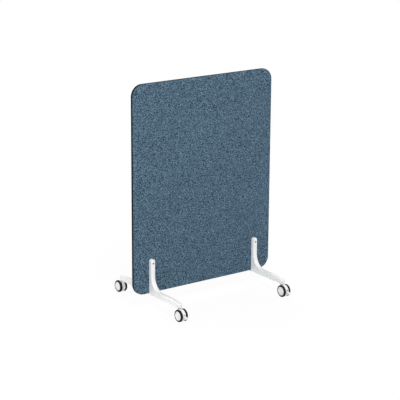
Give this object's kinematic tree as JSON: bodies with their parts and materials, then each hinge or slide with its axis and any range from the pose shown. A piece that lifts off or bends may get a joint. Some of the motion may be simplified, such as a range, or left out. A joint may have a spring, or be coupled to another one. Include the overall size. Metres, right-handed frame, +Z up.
{
  "type": "rolling partition",
  "caption": "Free-standing padded fabric panel with rounded corners, clamped between cast L-shaped legs that roll on twin wheel casters with brake pedals.",
  "frame": {"origin": "on the floor, below the middle of the panel", "axes": "+Z up, +X along the panel to the right as seen from its front, front side faces -Y"},
  "size_m": [1, 0.751, 1.339],
  "materials": {
    "blue_fabric": "grey blue melange weave",
    "black_band": "matte black",
    "board": "raw fibre board",
    "foam": "soft thin padding",
    "white_coat": "white powder coat over an aluminium casting",
    "white_plastic": "semi gloss white",
    "black_tyre": "soft matte black",
    "zinc_steel": "satin zinc"
  },
  "bodies": {
    "panel_and_legs": {"panel_core": "board", "edge_band": "black_band", "front_foam": "foam", "rear_foam": "foam", "front_fabric": "blue_fabric", "rear_fabric": "blue_fabric", "clamp_sleeves": "zinc_steel", "clamp_screws": "zinc_steel", "left_tie_plate": "zinc_steel", "right_tie_plate": "zinc_steel", "tie_screws": "zinc_steel", "stem_rings": "zinc_steel", "left_front_leg": "white_coat", "left_front_stem": "zinc_steel", "left_rear_leg": "white_coat", "left_rear_stem": "zinc_steel", "right_front_leg": "white_coat", "right_front_stem": "zinc_steel", "right_rear_leg": "white_coat", "right_rear_stem": "zinc_steel"},
    "left_front_caster": {"left_front_caster_body": "white_plastic", "left_front_axle": "zinc_steel"},
    "left_front_outer_wheel": {"left_front_outer_hub": "white_plastic", "left_front_outer_tyre": "black_tyre", "left_front_outer_cap": "white_plastic"},
    "left_front_inner_wheel": {"left_front_inner_hub": "white_plastic", "left_front_inner_tyre": "black_tyre", "left_front_inner_cap": "white_plastic"},
    "left_front_pedal": {"left_front_brake_pedal": "white_plastic"},
    "left_rear_caster": {"left_rear_caster_body": "white_plastic", "left_rear_axle": "zinc_steel"},
    "left_rear_outer_wheel": {"left_rear_outer_hub": "white_plastic", "left_rear_outer_tyre": "black_tyre", "left_rear_outer_cap": "white_plastic"},
    "left_rear_inner_wheel": {"left_rear_inner_hub": "white_plastic", "left_rear_inner_tyre": "black_tyre", "left_rear_inner_cap": "white_plastic"},
    "left_rear_pedal": {"left_rear_brake_pedal": "white_plastic"},
    "right_front_caster": {"right_front_caster_body": "white_plastic", "right_front_axle": "zinc_steel"},
    "right_front_outer_wheel": {"right_front_outer_hub": "white_plastic", "right_front_outer_tyre": "black_tyre", "right_front_outer_cap": "white_plastic"},
    "right_front_inner_wheel": {"right_front_inner_hub": "white_plastic", "right_front_inner_tyre": "black_tyre", "right_front_inner_cap": "white_plastic"},
    "right_front_pedal": {"right_front_brake_pedal": "white_plastic"},
    "right_rear_caster": {"right_rear_caster_body": "white_plastic", "right_rear_axle": "zinc_steel"},
    "right_rear_outer_wheel": {"right_rear_outer_hub": "white_plastic", "right_rear_outer_tyre": "black_tyre", "right_rear_outer_cap": "white_plastic"},
    "right_rear_inner_wheel": {"right_rear_inner_hub": "white_plastic", "right_rear_inner_tyre": "black_tyre", "right_rear_inner_cap": "white_plastic"},
    "right_rear_pedal": {"right_rear_brake_pedal": "white_plastic"}
  },
  "joints": [
    {"name": "left_front_swivel", "type": "hinge", "parent": "panel_and_legs", "child": "left_front_caster", "pos_m": [-0.378, -0.299, 0.06], "axis": [0, 0, 1], "continuous": true},
    {"name": "left_front_outer_spin", "type": "hinge", "parent": "left_front_caster", "child": "left_front_outer_wheel", "pos_m": [-0.378, -0.319, 0.0365], "axis": [1, 0, 0], "continuous": true},
    {"name": "left_front_inner_spin", "type": "hinge", "parent": "left_front_caster", "child": "left_front_inner_wheel", "pos_m": [-0.378, -0.319, 0.0365], "axis": [1, 0, 0], "continuous": true},
    {"name": "left_front_brake", "type": "hinge", "parent": "left_front_caster", "child": "left_front_pedal", "pos_m": [-0.378, -0.341, 0.036], "axis": [1, 0, 0], "range_deg": [0, 12]},
    {"name": "left_rear_swivel", "type": "hinge", "parent": "panel_and_legs", "child": "left_rear_caster", "pos_m": [-0.378, 0.299, 0.06], "axis": [0, 0, 1], "continuous": true},
    {"name": "left_rear_outer_spin", "type": "hinge", "parent": "left_rear_caster", "child": "left_rear_outer_wheel", "pos_m": [-0.378, 0.319, 0.0365], "axis": [1, 0, 0], "continuous": true},
    {"name": "left_rear_inner_spin", "type": "hinge", "parent": "left_rear_caster", "child": "left_rear_inner_wheel", "pos_m": [-0.378, 0.319, 0.0365], "axis": [1, 0, 0], "continuous": true},
    {"name": "left_rear_brake", "type": "hinge", "parent": "left_rear_caster", "child": "left_rear_pedal", "pos_m": [-0.378, 0.341, 0.036], "axis": [-1, 0, 0], "range_deg": [0, 12]},
    {"name": "right_front_swivel", "type": "hinge", "parent": "panel_and_legs", "child": "right_front_caster", "pos_m": [0.378, -0.299, 0.06], "axis": [0, 0, 1], "continuous": true},
    {"name": "right_front_outer_spin", "type": "hinge", "parent": "right_front_caster", "child": "right_front_outer_wheel", "pos_m": [0.378, -0.319, 0.0365], "axis": [1, 0, 0], "continuous": true},
    {"name": "right_front_inner_spin", "type": "hinge", "parent": "right_front_caster", "child": "right_front_inner_wheel", "pos_m": [0.378, -0.319, 0.0365], "axis": [1, 0, 0], "continuous": true},
    {"name": "right_front_brake", "type": "hinge", "parent": "right_front_caster", "child": "right_front_pedal", "pos_m": [0.378, -0.341, 0.036], "axis": [1, 0, 0], "range_deg": [0, 12]},
    {"name": "right_rear_swivel", "type": "hinge", "parent": "panel_and_legs", "child": "right_rear_caster", "pos_m": [0.378, 0.299, 0.06], "axis": [0, 0, 1], "continuous": true},
    {"name": "right_rear_outer_spin", "type": "hinge", "parent": "right_rear_caster", "child": "right_rear_outer_wheel", "pos_m": [0.378, 0.319, 0.0365], "axis": [1, 0, 0], "continuous": true},
    {"name": "right_rear_inner_spin", "type": "hinge", "parent": "right_rear_caster", "child": "right_rear_inner_wheel", "pos_m": [0.378, 0.319, 0.0365], "axis": [1, 0, 0], "continuous": true},
    {"name": "right_rear_brake", "type": "hinge", "parent": "right_rear_caster", "child": "right_rear_pedal", "pos_m": [0.378, 0.341, 0.036], "axis": [-1, 0, 0], "range_deg": [0, 12]}
  ]
}
